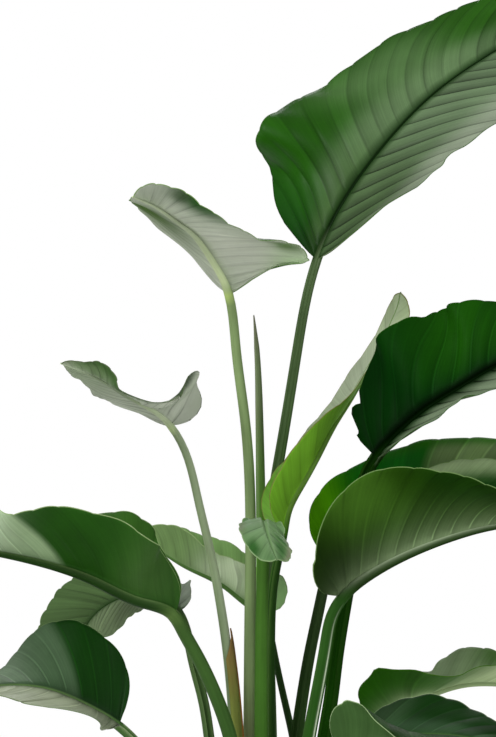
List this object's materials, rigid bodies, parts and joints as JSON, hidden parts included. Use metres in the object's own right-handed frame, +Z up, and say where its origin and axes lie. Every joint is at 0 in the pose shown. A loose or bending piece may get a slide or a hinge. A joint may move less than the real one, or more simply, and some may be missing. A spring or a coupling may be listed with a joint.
{
  "type": "potted bird of paradise",
  "caption": "Potted bird of paradise house plant: a clump of tall paddle leaves on long stalks in a plain tapered pot.",
  "frame": {"origin": "middle of the pot's flat foot, on the floor", "axes": "+Z up from the pot's foot to the leaf tips; +X to the right and -Y toward someone who looks at the plant's front"},
  "size_m": [1.024, 0.5784, 1.6678],
  "materials": {
    "pot": "plain matte pot, warm pale grey",
    "potting_mix": "dark crumbly bark and peat potting mix",
    "leaf": "leathery satin leaf, dark green above and paler grey green beneath, pleated along its veins",
    "young_leaf": "soft satin young leaf, bright green with a thin reddish margin",
    "rolled_leaf": "tightly rolled pale green new leaf with a brown tip"
  },
  "bodies": {
    "root": {"pot": "pot", "soil": "potting_mix", "leaf_tall_right": "leaf", "leaf_tall_left": "leaf", "leaf_small_left": "leaf", "leaf_unfolding": "young_leaf", "leaf_front": "leaf", "leaf_back_left": "leaf", "leaf_wide_left": "leaf", "leaf_drooping_left": "leaf", "leaf_low_left": "leaf", "leaf_dark_right": "leaf", "leaf_back_right": "leaf", "leaf_wide_right": "leaf", "leaf_low_right": "leaf", "leaf_low_front": "leaf", "leaf_rolled_new": "rolled_leaf"}
  },
  "joints": []
}
